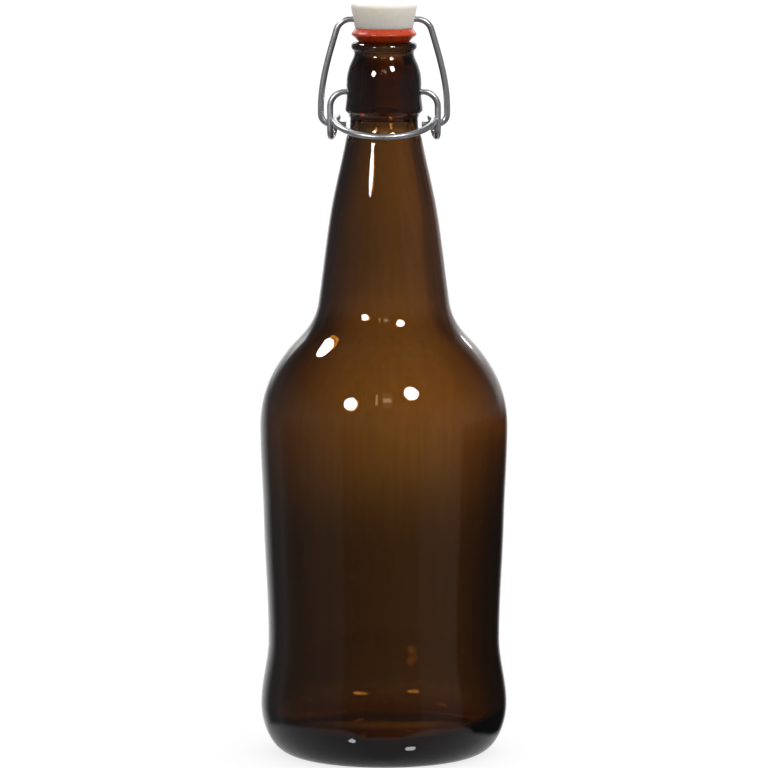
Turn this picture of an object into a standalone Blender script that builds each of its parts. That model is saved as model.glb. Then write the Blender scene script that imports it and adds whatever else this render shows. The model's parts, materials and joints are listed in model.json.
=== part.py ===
"""Swing-top bottle: one litre of amber glass with a wire-held stopper.

Metres, +Z up. The origin is the middle of the base, the thumb lever is in
front, on the -Y side, and the stopper is shut on the mouth.
"""

import math
from collections import namedtuple

import bmesh
import bpy
from mathutils import Vector

# A place on a turned outline: height, radius, and slope as radius gained per height
Station = namedtuple("Station", "height radius slope")

# Flats round the turned pieces, and the smallest gap between neighbours
GLASS_STEPS = 44
CAP_STEPS = 36
SHARP_ANGLE = math.radians(40)
MERGE_GAP = 1e-6
FIT_GAP = 0.0003

# Outer outline of the glass, from the neck down to the heel
NECK_TOP = Station(0.2470, 0.0152, -0.190)
NECK_MIDDLE = Station(0.2150, 0.0218, -0.149)
NECK_ROOT = Station(0.1820, 0.0262, -0.139)
SHOULDER_STEEPEST = Station(0.1675, 0.0339, -0.993)
SHOULDER = Station(0.1320, 0.0496, 0.0)
FLANK = Station(0.0950, 0.0483, 0.023)
WAIST = Station(0.0460, 0.0465, 0.0)
HEEL = Station(0.0200, 0.0495, 0.0)

# Base: a flat bearing ring round a shallow push-up
BEARING_OUTER = 0.0370
BEARING_INNER = 0.0335
PUSH_UP = 0.0045

# Inside of the glass
WALL = 0.0033
FLOOR_THICKNESS = 0.0060
FLOOR_EDGE = 0.0300
FLOOR_DISH = 0.0022
INNER_HEEL = Station(0.0240, 0.0461, 0.0)
THROAT = Station(0.2600, 0.0093, -0.110)
BORE = Station(0.2720, 0.0084, 0.0)
MOUTH_ROUND = 0.0013

# Finish: the lip bead, the throat under it, the collar and the groove
LIP_TOP = 0.2859
LIP_ROUND = 0.0019
LIP_MIDDLE = 0.0112
LIP_TURN = math.radians(-55)
LIP_UNDER = Station(0.2814, 0.01185, 0.0)
COLLAR_CONE = Station(0.2763, 0.0137, -0.350)
COLLAR_TOP = Station(0.2705, 0.0149, -0.040)
COLLAR_WAIST = Station(0.2635, 0.01495, 0.0)
COLLAR_EDGE_RADIUS = 0.0155
COLLAR_EDGE_HEIGHT = 0.2590
COLLAR_EDGE_ROUND = 0.0016
COLLAR_EDGE_TURN = math.radians(-65)
GROOVE = Station(0.2556, 0.0136, 0.0)
GROOVE_FOOT = Station(0.2524, 0.0136, 0.0)

# Lever pivot: two round dimples in the sides of the collar
PIVOT_HEIGHT = 0.2659
DIMPLE_RADIUS = 0.0016
DIMPLE_FLOOR = 0.0127
DIMPLE_SIDES = 16

# Crank, where the bail hooks into the lever, and swivel, where it holds the stopper
CRANK_BACK = 0.0020
CRANK_DROP = 0.0131
SWIVEL_HEIGHT = 0.29475
PIVOT = Vector((0.0, 0.0, PIVOT_HEIGHT))
CRANK = Vector((0.0, CRANK_BACK, PIVOT_HEIGHT - CRANK_DROP))
SWIVEL = Vector((0.0, 0.0, SWIVEL_HEIGHT))

# Wire of the lever and the bail
WIRE_RADIUS = 0.00125
WIRE_ROUNDNESS = 2
EYE_RADIUS = 0.0030

# Lever: half widths, heights below the pivot, and the thumb arc
LEVER_TIP = DIMPLE_FLOOR + 0.0005
EYE_FIRST_STRAIGHT = 2
EYE_LAST_STRAIGHT = 3
THUMB_STEPS = 11
LEVER_HIP_START = 0.0154
LEVER_HIP_ROUND = 0.0060
LEVER_LEG = LEVER_HIP_START + LEVER_HIP_ROUND
EYE_FOOT_DROP = 0.0152
EYE_INSET = 0.0030
EYE_EXIT = math.radians(70)
THUMB_WIDTH = 0.0203
THUMB_REACH = 0.0200
THUMB_DROP = 0.0165
THUMB_START_DROP = 0.0118
THUMB_START = math.radians(15)

# Bail: half widths and rounds
BAIL_CORNER = 0.0131
BAIL_CORNER_ROUND = 0.0060
BAIL_LEG_TURN = math.radians(16.7)
BAIL_LEG = 0.0251
BAIL_CURL_ROUND = 0.0042
BAIL_LEG_FOOT_RISE = 0.0022
BAIL_TIP = 0.0150

# Stopper: a tapered cap, with a stem and a button that hold the gasket
CAP_TOP = 0.3016
CAP_TOP_RADIUS = 0.0131
CAP_TOP_ROUND = 0.0015
CAP_BOTTOM = 0.2912
CAP_BOTTOM_RADIUS = 0.0116
CAP_BOTTOM_ROUND = 0.0004
STEM_RADIUS = 0.0049
BUTTON_RADIUS = 0.0062
BUTTON_THICKNESS = 0.0015
BAIL_HOLE_RADIUS = WIRE_RADIUS + FIT_GAP
BAIL_HOLE_SIDES = 16

# Gasket: a rubber ring, pointed at its rim and coned into the mouth
GASKET_TOP = CAP_BOTTOM - FIT_GAP
GASKET_TOP_RADIUS = 0.0115
GASKET_RIM_RADIUS = 0.01295
GASKET_RIM_HEIGHT = 0.2889
GASKET_CONE_RADIUS = 0.0109
GASKET_CONE_HEIGHT = 0.2872
GASKET_NOSE_RADIUS = 0.0076
GASKET_NOSE_HEIGHT = 0.28535
GASKET_HOLE_RADIUS = STEM_RADIUS + FIT_GAP


def finish(name, colour, roughness, metallic=0.0, transmission=0.0):
    """A plain material: colour as linear RGB."""
    material = bpy.data.materials.new(name)
    material.use_nodes = True
    shader = material.node_tree.nodes["Principled BSDF"]
    shader.inputs["Base Color"].default_value = (*colour, 1.0)
    shader.inputs["Roughness"].default_value = roughness
    shader.inputs["Metallic"].default_value = metallic
    shader.inputs["Transmission Weight"].default_value = transmission
    material.diffuse_color = (*colour, 1.0)
    return material


def flowing(stations, steps):
    """Points (radius, height) of the smooth outline through the stations."""
    points = []
    for start, end in zip(stations, stations[1:]):
        span = end.height - start.height
        for step in range(steps):
            t = step / steps
            rise = 3 * t ** 2 - 2 * t ** 3
            radius = start.radius + (end.radius - start.radius) * rise
            radius += start.slope * span * (t ** 3 - 2 * t ** 2 + t)
            radius += end.slope * span * (t ** 3 - t ** 2)
            points.append((radius, start.height + span * t))
    points.append((stations[-1].radius, stations[-1].height))
    return points


def rounded(centre, sizes, start, end, steps):
    """Points (radius, height) of an elliptical arc, its angles from outwards to upwards."""
    points = []
    for step in range(steps + 1):
        angle = start + (end - start) * step / steps
        points.append((centre[0] + sizes[0] * math.cos(angle),
                       centre[1] + sizes[1] * math.sin(angle)))
    return points


def inset(station):
    """The same station on the inside of the wall."""
    return Station(station.height,
                   station.radius - WALL * math.hypot(1.0, station.slope),
                   station.slope)


def without_doubles(points):
    """The points, each one once where two stretches meet."""
    kept = [points[0]]
    for point in points[1:]:
        if math.dist(point, kept[-1]) > MERGE_GAP:
            kept.append(point)
    return kept


def turned(name, outline, steps, material, origin, ring=False):
    """An object turned about Z from an outline that runs down its outer side."""
    bm = bmesh.new()
    verts = [bm.verts.new((radius, 0.0, height - origin.z)) for radius, height in outline]
    edges = [bm.edges.new(pair) for pair in zip(verts, verts[1:])]
    if ring:
        edges.append(bm.edges.new((verts[-1], verts[0])))
    bmesh.ops.spin(bm, geom=verts + edges, cent=(0, 0, 0), axis=(0, 0, 1),
                   angle=math.tau, steps=steps, use_merge=True)
    bmesh.ops.remove_doubles(bm, verts=bm.verts, dist=MERGE_GAP)
    bmesh.ops.recalc_face_normals(bm, faces=bm.faces)
    mesh = bpy.data.meshes.new(name)
    bm.to_mesh(mesh)
    bm.free()
    mesh.shade_smooth()
    mesh.set_sharp_from_angle(angle=SHARP_ANGLE)
    mesh.materials.append(material)
    piece = bpy.data.objects.new(name, mesh)
    piece.location = origin
    bpy.context.collection.objects.link(piece)
    return piece


def cross_drill(piece, name, spans, height, radius, sides):
    """Cuts round holes along X, each from one half width to another."""
    bm = bmesh.new()
    for start, end in spans:
        made = bmesh.ops.create_cone(bm, cap_ends=True, segments=sides, radius1=radius,
                                     radius2=radius, depth=end - start)
        for vert in made["verts"]:
            x, y, z = vert.co
            vert.co = (z + (start + end) / 2, y, height - x)
    bmesh.ops.recalc_face_normals(bm, faces=bm.faces)
    mesh = bpy.data.meshes.new(name)
    bm.to_mesh(mesh)
    bm.free()
    cutter = bpy.data.objects.new(name, mesh)
    cutter.hide_render = True
    cutter.display_type = "WIRE"
    bpy.context.collection.objects.link(cutter)
    cut = piece.modifiers.new(name, "BOOLEAN")
    cut.operation = "DIFFERENCE"
    cut.solver = "EXACT"
    cut.object = cutter


def bend(centre, across, along, sizes, start, end, steps):
    """Points of an arc in the plane of two directions."""
    points = []
    for step in range(steps + 1):
        angle = start + (end - start) * step / steps
        points.append(centre + across * sizes[0] * math.cos(angle)
                      + along * sizes[1] * math.sin(angle))
    return points


def eased(start, start_way, end, end_way, steps):
    """Points of a smooth run from one place and direction to another."""
    reach = (end - start).length
    points = []
    for step in range(steps + 1):
        t = step / steps
        rise = 3 * t ** 2 - 2 * t ** 3
        points.append(start.lerp(end, rise) + start_way * reach * (t ** 3 - 2 * t ** 2 + t)
                      + end_way * reach * (t ** 3 - t ** 2))
    return points


def mirrored(right_half):
    """The whole wire, from a right half that ends in the middle."""
    left_half = [Vector((-point.x, point.y, point.z)) for point in reversed(right_half[:-1])]
    return right_half + left_half


def wire(name, route, material, origin):
    """A round wire with flat cut ends along a route."""
    curve = bpy.data.curves.new(name, "CURVE")
    curve.dimensions = "3D"
    curve.twist_mode = "MINIMUM"
    curve.bevel_depth = WIRE_RADIUS
    curve.bevel_resolution = WIRE_ROUNDNESS
    curve.use_fill_caps = True
    spline = curve.splines.new("POLY")
    spline.points.add(len(route) - 1)
    for place, point in zip(spline.points, route):
        place.co = (*(point - origin), 1.0)
    spline.use_smooth = True
    curve.materials.append(material)
    piece = bpy.data.objects.new(name, curve)
    piece.location = origin
    bpy.context.collection.objects.link(piece)
    return piece


def carry(piece, carrier):
    """Parents a piece and leaves it where it is."""
    place = piece.location.copy()
    above = carrier
    while above:
        place -= above.location
        above = above.parent
    piece.parent = carrier
    piece.location = place


def glass_outline():
    """From the inner floor up the inside, over the lip, and down to the push-up."""
    floor_edge = PUSH_UP + FLOOR_THICKNESS - FLOOR_DISH
    points = rounded((0.0, floor_edge), (FLOOR_EDGE, FLOOR_DISH),
                     math.radians(90), math.radians(40), 3)
    points += rounded((FLOOR_EDGE, INNER_HEEL.height),
                      (INNER_HEEL.radius - FLOOR_EDGE, INNER_HEEL.height - floor_edge),
                      math.radians(-90), 0.0, 6)
    body = [inset(station) for station in (WAIST, FLANK, SHOULDER)]
    shoulder = [inset(station) for station in (SHOULDER, SHOULDER_STEEPEST, NECK_ROOT)]
    neck = [inset(station) for station in (NECK_ROOT, NECK_MIDDLE, NECK_TOP)]
    points += flowing([INNER_HEEL] + body, 2)
    points += flowing(shoulder, 4)
    points += flowing(neck + [THROAT, BORE], 2)
    mouth = (BORE.radius + MOUTH_ROUND, LIP_TOP - MOUTH_ROUND)
    points += rounded(mouth, (MOUTH_ROUND, MOUTH_ROUND), math.radians(180), math.radians(90), 3)

    points += rounded((LIP_MIDDLE, LIP_TOP - LIP_ROUND), (LIP_ROUND, LIP_ROUND),
                      math.radians(90), LIP_TURN, 6)
    points += flowing([LIP_UNDER, COLLAR_CONE, COLLAR_TOP, COLLAR_WAIST], 2)
    edge = (COLLAR_EDGE_RADIUS - COLLAR_EDGE_ROUND, COLLAR_EDGE_HEIGHT)
    points += rounded(edge, (COLLAR_EDGE_ROUND, COLLAR_EDGE_ROUND), math.radians(15),
                      COLLAR_EDGE_TURN, 3)
    points += flowing([GROOVE, GROOVE_FOOT], 1)
    points += flowing([GROOVE_FOOT, NECK_TOP], 3)
    points += flowing([NECK_TOP, NECK_MIDDLE, NECK_ROOT], 2)
    points += flowing([NECK_ROOT, SHOULDER_STEEPEST, SHOULDER], 5)
    points += flowing([SHOULDER, FLANK, WAIST], 3)
    points += flowing([WAIST, HEEL], 4)
    points += rounded((BEARING_OUTER, HEEL.height), (HEEL.radius - BEARING_OUTER, HEEL.height),
                      0.0, math.radians(-90), 7)
    points += [(BEARING_INNER, 0.0)]
    points += rounded((0.0, 0.0), (BEARING_INNER, PUSH_UP), math.radians(18),
                      math.radians(90), 4)
    return without_doubles(points)


def lever_route():
    """Right half: from the dimple, out and down, round the eye, and along the thumb arc."""
    out, front, up = Vector((1, 0, 0)), Vector((0, -1, 0)), Vector((0, 0, 1))
    route = [PIVOT + out * LEVER_TIP]
    hip = PIVOT + out * LEVER_HIP_START - up * LEVER_HIP_ROUND
    route += bend(hip, out, up, (LEVER_HIP_ROUND, LEVER_HIP_ROUND),
                  math.radians(90), 0.0, 6)

    eye_sizes = (EYE_RADIUS, EYE_RADIUS)
    foot = Vector((LEVER_LEG, CRANK.y, PIVOT_HEIGHT - EYE_FOOT_DROP))
    head = Vector((LEVER_LEG, CRANK.y, CRANK.z))
    eye = bend(foot, front, up, eye_sizes, 0.0, math.radians(-180), 8)
    eye += bend(head, front, up, eye_sizes, math.radians(180), EYE_EXIT, 6)
    shift_end = len(eye) - EYE_LAST_STRAIGHT
    for index, point in enumerate(eye):
        share = (index - EYE_FIRST_STRAIGHT) / (shift_end - EYE_FIRST_STRAIGHT)
        point.x -= EYE_INSET * min(1.0, max(0.0, share))
    route += eye

    thumb = []
    for step in range(THUMB_STEPS + 1):
        angle = THUMB_START + (math.radians(90) - THUMB_START) * step / THUMB_STEPS
        share = (math.sin(angle) - math.sin(THUMB_START)) / (1 - math.sin(THUMB_START))
        drop = THUMB_START_DROP + (THUMB_DROP - THUMB_START_DROP) * share
        thumb.append(PIVOT + out * THUMB_WIDTH * math.cos(angle)
                     + front * THUMB_REACH * math.sin(angle) - up * drop)
    exit_way = front * math.sin(EYE_EXIT) - up * math.cos(EYE_EXIT)
    route += eased(eye[-1], exit_way, thumb[0], (thumb[1] - thumb[0]).normalized(), 4)[1:-1]
    return route + thumb


def bail_route():
    """Right half: from the hooked tip, up the leg, and through the stopper."""
    out, up = Vector((1, 0, 0)), Vector((0, 0, 1))
    route = [CRANK + out * BAIL_TIP]
    curl = CRANK + out * (BAIL_LEG - BAIL_CURL_ROUND) + up * BAIL_CURL_ROUND
    route += bend(curl, out, up, (BAIL_CURL_ROUND, BAIL_CURL_ROUND), math.radians(-90), 0.0, 7)

    corner = SWIVEL + out * BAIL_CORNER - up * BAIL_CORNER_ROUND
    corner_turn = bend(corner, out, up, (BAIL_CORNER_ROUND, BAIL_CORNER_ROUND),
                       BAIL_LEG_TURN, math.radians(90), 6)
    leg = flowing([Station(curl.z + BAIL_LEG_FOOT_RISE, BAIL_LEG, 0.0),
                   Station(corner_turn[0].z, corner_turn[0].x, -math.tan(BAIL_LEG_TURN))], 8)
    route += [Vector((half_width, 0.0, height)) for half_width, height in leg[:-1]]
    route += corner_turn
    route.append(SWIVEL.copy())

    lean = (SWIVEL.y - CRANK.y) / (SWIVEL.z - CRANK.z)
    for point in route:
        point.y = CRANK.y + lean * (point.z - CRANK.z)
    return route


def stopper_outline():
    """From the crown down the side, in to the stem, and round the button."""
    taper = (CAP_BOTTOM_RADIUS - CAP_TOP_RADIUS) / (CAP_BOTTOM - CAP_TOP)
    lean = math.atan(taper)
    crown = (CAP_TOP_RADIUS - CAP_TOP_ROUND, CAP_TOP - CAP_TOP_ROUND)
    button_top = GASKET_NOSE_HEIGHT - FIT_GAP
    points = [(0.0, CAP_TOP)]
    points += rounded(crown, (CAP_TOP_ROUND, CAP_TOP_ROUND), math.radians(90), -lean, 5)
    foot = (CAP_BOTTOM_RADIUS - CAP_BOTTOM_ROUND, CAP_BOTTOM + CAP_BOTTOM_ROUND)
    points += rounded(foot, (CAP_BOTTOM_ROUND, CAP_BOTTOM_ROUND), -lean, math.radians(-90), 2)
    points += [(STEM_RADIUS, CAP_BOTTOM), (STEM_RADIUS, button_top)]
    points += rounded((BUTTON_RADIUS - BUTTON_THICKNESS / 2, button_top - BUTTON_THICKNESS / 2),
                      (BUTTON_THICKNESS / 2, BUTTON_THICKNESS / 2),
                      math.radians(90), math.radians(-90), 4)
    points += [(0.0, button_top - BUTTON_THICKNESS)]
    return without_doubles(points)


def gasket_outline():
    """A closed ring, from the top of its hole out, down and back."""
    return [
        (GASKET_HOLE_RADIUS, GASKET_TOP),
        (GASKET_TOP_RADIUS, GASKET_TOP),
        (GASKET_RIM_RADIUS, GASKET_RIM_HEIGHT + FIT_GAP),
        (GASKET_RIM_RADIUS, GASKET_RIM_HEIGHT - FIT_GAP),
        (GASKET_CONE_RADIUS, GASKET_CONE_HEIGHT),
        (GASKET_NOSE_RADIUS, GASKET_NOSE_HEIGHT),
        (GASKET_HOLE_RADIUS, GASKET_NOSE_HEIGHT),
    ]


def main():
    for piece in list(bpy.data.objects):
        bpy.data.objects.remove(piece, do_unlink=True)

    amber = finish("amber glass", (0.10, 0.035, 0.006), 0.05, transmission=0.6)
    cream = finish("cream moulded plastic", (0.72, 0.68, 0.60), 0.35)
    rubber = finish("orange red rubber", (0.70, 0.09, 0.03), 0.55)
    steel = finish("zinc plated steel wire", (0.55, 0.56, 0.58), 0.25, metallic=1.0)

    base = Vector((0.0, 0.0, 0.0))
    glass = turned("bottle_glass", glass_outline(), GLASS_STEPS, amber, base)
    outside = COLLAR_EDGE_RADIUS + WIRE_RADIUS
    cross_drill(glass, "dimple_cutter", ((-outside, -DIMPLE_FLOOR), (DIMPLE_FLOOR, outside)),
                PIVOT_HEIGHT, DIMPLE_RADIUS, DIMPLE_SIDES)

    lever = wire("lever", mirrored(lever_route()), steel, PIVOT)
    bail = wire("bail", mirrored(bail_route()), steel, CRANK)
    stopper = turned("stopper", stopper_outline(), CAP_STEPS, cream, SWIVEL)
    cross_drill(stopper, "bail_hole_cutter", ((-CAP_TOP_RADIUS, CAP_TOP_RADIUS),),
                SWIVEL_HEIGHT, BAIL_HOLE_RADIUS, BAIL_HOLE_SIDES)
    gasket = turned("gasket", gasket_outline(), CAP_STEPS, rubber, SWIVEL, ring=True)

    carry(lever, glass)
    carry(bail, lever)
    carry(stopper, bail)
    carry(gasket, stopper)


main()
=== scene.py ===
"""The looks of a one litre swing-top bottle: amber glass, wire closure, moulded stopper.

Metres, +Z up. The bottle stands empty and shut on a pale floor, thumb lever to the
front, on the -Y side. Every piece here replaces the plain solid of the same part.
"""

import json
from collections import namedtuple
from itertools import accumulate
from math import atan, cos, dist, pi, radians, sin, tan

import bpy
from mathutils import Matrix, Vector


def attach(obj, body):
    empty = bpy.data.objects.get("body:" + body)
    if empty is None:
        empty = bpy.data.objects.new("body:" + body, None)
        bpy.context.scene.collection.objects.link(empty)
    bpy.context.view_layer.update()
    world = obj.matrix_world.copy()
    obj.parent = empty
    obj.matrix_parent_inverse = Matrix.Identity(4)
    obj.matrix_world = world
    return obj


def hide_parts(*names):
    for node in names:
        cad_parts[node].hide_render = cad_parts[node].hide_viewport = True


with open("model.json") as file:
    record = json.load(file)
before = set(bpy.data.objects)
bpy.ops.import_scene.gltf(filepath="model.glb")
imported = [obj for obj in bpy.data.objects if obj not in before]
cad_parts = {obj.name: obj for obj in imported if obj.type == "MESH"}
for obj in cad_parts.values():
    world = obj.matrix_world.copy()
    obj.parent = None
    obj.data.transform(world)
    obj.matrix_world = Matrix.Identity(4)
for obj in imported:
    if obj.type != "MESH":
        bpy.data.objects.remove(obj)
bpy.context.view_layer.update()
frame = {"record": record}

# A place on a turned outline: height, radius, and slope as radius gained per height
Station = namedtuple("Station", "height radius slope")

# Outer outline of the glass, from the neck down to the heel
NECK_TOP = Station(0.2470, 0.0152, -0.190)
NECK_MIDDLE = Station(0.2150, 0.0218, -0.149)
NECK_ROOT = Station(0.1820, 0.0262, -0.139)
SHOULDER_STEEPEST = Station(0.1675, 0.0339, -0.993)
SHOULDER = Station(0.1320, 0.0496, 0.0)
FLANK = Station(0.0950, 0.0483, 0.023)
WAIST = Station(0.0460, 0.0465, 0.0)
HEEL = Station(0.0200, 0.0495, 0.0)
BEARING_OUTER = 0.0370
BEARING_INNER = 0.0335
PUSH_UP = 0.0045
PUSH_UP_START = radians(18)

# Inside of the glass
WALL = 0.0033
WALL_SAG = 0.0010
FLOOR_THICKNESS = 0.0060
FLOOR_EDGE = 0.0340
FLOOR_DISH = 0.0022
FLOOR_DISH_TURN = radians(40)
INNER_HEEL = Station(0.0205, 0.0461, 0.0)
THROAT = Station(0.2600, 0.0093, -0.110)
BORE = Station(0.2720, 0.0084, 0.0)
MOUTH_ROUND = 0.0013

# Finish: the lip bead, the throat under it, the collar and the groove
LIP_TOP = 0.2859
LIP_ROUND = 0.0019
LIP_MIDDLE = 0.0112
LIP_TURN = radians(-55)
LIP_UNDER = Station(0.2814, 0.01185, 0.0)
COLLAR_CONE = Station(0.2763, 0.0137, -0.350)
COLLAR_TOP = Station(0.2705, 0.0149, -0.040)
COLLAR_WAIST = Station(0.2635, 0.01495, 0.0)
COLLAR_EDGE_RADIUS = 0.0155
COLLAR_EDGE_HEIGHT = 0.2590
COLLAR_EDGE_ROUND = 0.0016
COLLAR_EDGE_START = radians(15)
COLLAR_EDGE_TURN = radians(-65)
GROOVE = Station(0.2556, 0.0136, 0.0)
GROOVE_FOOT = Station(0.2524, 0.0136, 0.0)

# Hinges, as the joints place them: the lever in the collar, the bail in the lever's
# eyes, and the stopper on the bail. The wires run out to the right, to the front and up.
JOINTS = {joint["name"]: Vector(joint["pos_m"])
          for joint in frame["record"]["behaviour"]["joints"]}
PIVOT = JOINTS["lever_pivot"]
CRANK = JOINTS["bail_pivot"]
SWIVEL = JOINTS["stopper_swivel"]
OUT, FRONT, UP = Vector((1, 0, 0)), Vector((0, -1, 0)), Vector((0, 0, 1))

# Moulded dimples that take the lever's tips
DIMPLE_RADIUS = 0.0016
DIMPLE_ROUND = 0.0006
DIMPLE_FLOOR = 0.0127

# Unevenness of the blown walls, at most, and the length of its ripples, which run further
# upright. It fades out towards the finish, and on the outside towards the foot.
INNER_WAVE = 0.00018
OUTER_WAVE = 0.00001
RIPPLE_LENGTH = 0.020
RIPPLE_RUN = (1.0, 1.0, 0.3)
NECK_FADE = 0.030
FOOT_EVEN = 0.006
FOOT_FADE = 0.020

# How far patterns are drawn out: the glass's cords upright, and the wire's drawing lines
CORD_RUN = (1.0, 1.0, 0.07)
DRAWING_RUN = 0.03

# Arm of the small circle that an outline is carried round on
OUTLINE_ARM = 0.001

# How finely round things are cut, and how close two points of an outline, a route or a
# turned skin may lie
GLASS_FLATS = 256
MOULDED_FLATS = 128
HOLE_FLATS = 48
SHEET_FLATS = 128
WIRE_SIDES = 24
THUMB_STEPS = 48
OUTLINE_GAP = 1e-6
ROUTE_GAP = 1e-5
SKIN_GAP = 2e-6

# Wire of the lever and the bail, and how full it still is at its cut ends
WIRE_RADIUS = 0.00125
WIRE_END_ROUND = 0.0003
WIRE_END_POINTS = (0.0, 0.3, 0.6, 1.0)
WIRE_END_FULLNESS = 0.72
EYE_RADIUS = 0.0030
LEVER_TIP_GAP = 0.0005
LEVER_TIP = DIMPLE_FLOOR + LEVER_TIP_GAP
LEVER_HIP_START = 0.0154
LEVER_HIP_ROUND = 0.0060
LEVER_LEG = LEVER_HIP_START + LEVER_HIP_ROUND
EYE_FOOT_DROP = 0.0152
EYE_INSET = 0.0030
EYE_EXIT = radians(70)
THUMB_WIDTH = 0.0203
THUMB_REACH = 0.0200
THUMB_DROP = 0.0165
THUMB_START_DROP = 0.0118
THUMB_START = radians(15)
BAIL_CORNER = 0.0131
BAIL_CORNER_ROUND = 0.0060
BAIL_LEG_TURN = radians(16.7)
BAIL_LEG = 0.0251
BAIL_CURL_ROUND = 0.0042
BAIL_LEG_FOOT_RISE = 0.0022
BAIL_TIP = 0.0150

# Stopper and gasket. The stopper's edges stay sharp where they turn by more than a limit.
CAP_TOP = 0.3016
CAP_TOP_RADIUS = 0.0131
CAP_TOP_ROUND = 0.0019
CAP_BOTTOM = 0.2912
CAP_BOTTOM_RADIUS = 0.0116
CAP_BOTTOM_ROUND = 0.0004
STEM_RADIUS = 0.0049
BUTTON_TOP = 0.28505
BUTTON_RADIUS = 0.0062
BUTTON_THICKNESS = 0.0015
BAIL_HOLE_RADIUS = 0.00155
SHARP_EDGE = radians(35)
GASKET_TOP_RADIUS = 0.0115
GASKET_RIM_RADIUS = 0.01295
GASKET_RIM_HEIGHT = 0.2889
GASKET_RIM_ROUND = 0.0007
GASKET_RIM_TURN = radians(60)
GASKET_CONE_RADIUS = 0.0112
GASKET_CONE_HEIGHT = 0.2871
GASKET_FOOT_RADIUS = 0.0102
GASKET_FOOT_HEIGHT = 0.28605
GASKET_SEAT_RADIUS = 0.0092
GASKET_NOSE_RADIUS = 0.0077
GASKET_NOSE_HEIGHT = 0.28515

# Camera at the photograph's view
CAMERA_PLACE = Vector((0.0, -2.250, 0.437))
CAMERA_AIM = Vector((0.0, 0.0, 0.14875))
CAMERA_LENS_MM = 265.8


def linear(code):
    """An sRGB hex colour as linear RGBA."""
    channels = [int(code[place:place + 2], 16) / 255 for place in (1, 3, 5)]
    straight = [c / 12.92 if c <= 0.04045 else ((c + 0.055) / 1.055) ** 2.4 for c in channels]
    return (*straight, 1.0)


def add(tree, kind, values=None, **settings):
    """Adds a node with its settings. values gives an input a number or another node's output."""
    node = tree.nodes.new(kind)
    for name, setting in settings.items():
        setattr(node, name, setting)
    for socket, value in (values or {}).items():
        if isinstance(value, bpy.types.NodeSocket):
            tree.links.new(value, node.inputs[socket])
        else:
            node.inputs[socket].default_value = value
    return node


def brought_in(name, data):
    """A new object in the scene."""
    thing = bpy.data.objects.new(name, data)
    bpy.context.scene.collection.objects.link(thing)
    return thing


# Outlines and routes

def smooth_run(t):
    """Shares of a smooth run at t: of its way across, its first slope and its last."""
    return 3 * t ** 2 - 2 * t ** 3, t ** 3 - 2 * t ** 2 + t, t ** 3 - t ** 2


def flowing(stations, steps):
    """Points (radius, height) of the smooth outline through the stations, with so many steps
    from each to the next."""
    points = []
    for start, end in zip(stations, stations[1:]):
        span = end.height - start.height
        for step in range(steps):
            t = step / steps
            across, first, last = smooth_run(t)
            radius = start.radius + (end.radius - start.radius) * across
            radius += start.slope * span * first
            radius += end.slope * span * last
            points.append((radius, start.height + span * t))
    points.append((stations[-1].radius, stations[-1].height))
    return points


def rounded(centre, reach, start, end, steps, rise=None):
    """Points (radius, height) of an arc, its angles from outwards to upwards, cut into so
    many steps. It is round, or elliptical where its rise is given too."""
    points = []
    for step in range(steps + 1):
        angle = start + (end - start) * step / steps
        points.append((centre[0] + reach * cos(angle),
                       centre[1] + (rise or reach) * sin(angle)))
    return points


def inset(station):
    """The same station on the inside of the wall, which thins on the shoulder's slope."""
    return Station(station.height - WALL_SAG, station.radius - WALL, station.slope)


def bend(centre, across, along, radius, start, end, steps):
    """Points of a round arc in the plane of two directions."""
    arc = rounded((0.0, 0.0), radius, start, end, steps)
    return [centre + across * reach + along * rise for reach, rise in arc]


def eased(start, start_way, end, end_way, steps):
    """Points of a smooth run from one place and direction to another."""
    reach = (end - start).length
    points = []
    for step in range(steps + 1):
        across, first, last = smooth_run(step / steps)
        points.append(start.lerp(end, across) + start_way * reach * first
                      + end_way * reach * last)
    return points


def apart(points, least):
    """The points, without those that crowd the one before."""
    kept = [points[0]]
    for point in points[1:]:
        if dist(point, kept[-1]) > least:
            kept.append(point)
    return kept


def glass_inside():
    """From the middle of the inner floor up to the mouth."""
    floor_edge = PUSH_UP + FLOOR_THICKNESS - FLOOR_DISH
    points = rounded((0.0, floor_edge), FLOOR_EDGE, radians(90), FLOOR_DISH_TURN, 12,
                     rise=FLOOR_DISH)
    points += rounded((FLOOR_EDGE, INNER_HEEL.height), INNER_HEEL.radius - FLOOR_EDGE,
                      radians(-90), 0.0, 16, rise=INNER_HEEL.height - floor_edge)
    points += flowing([INNER_HEEL, inset(WAIST)], 8)
    for stations, steps in (((WAIST, FLANK, SHOULDER), 9),
                            ((SHOULDER, SHOULDER_STEEPEST, NECK_ROOT), 14),
                            ((NECK_ROOT, NECK_MIDDLE, NECK_TOP), 8)):
        points += flowing([inset(station) for station in stations], steps)
    points += flowing([inset(NECK_TOP), THROAT, BORE], 8)
    mouth = (BORE.radius + MOUTH_ROUND, LIP_TOP - MOUTH_ROUND)
    points += rounded(mouth, MOUTH_ROUND, radians(180), radians(90), 8)
    return apart(points, OUTLINE_GAP)


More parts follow.
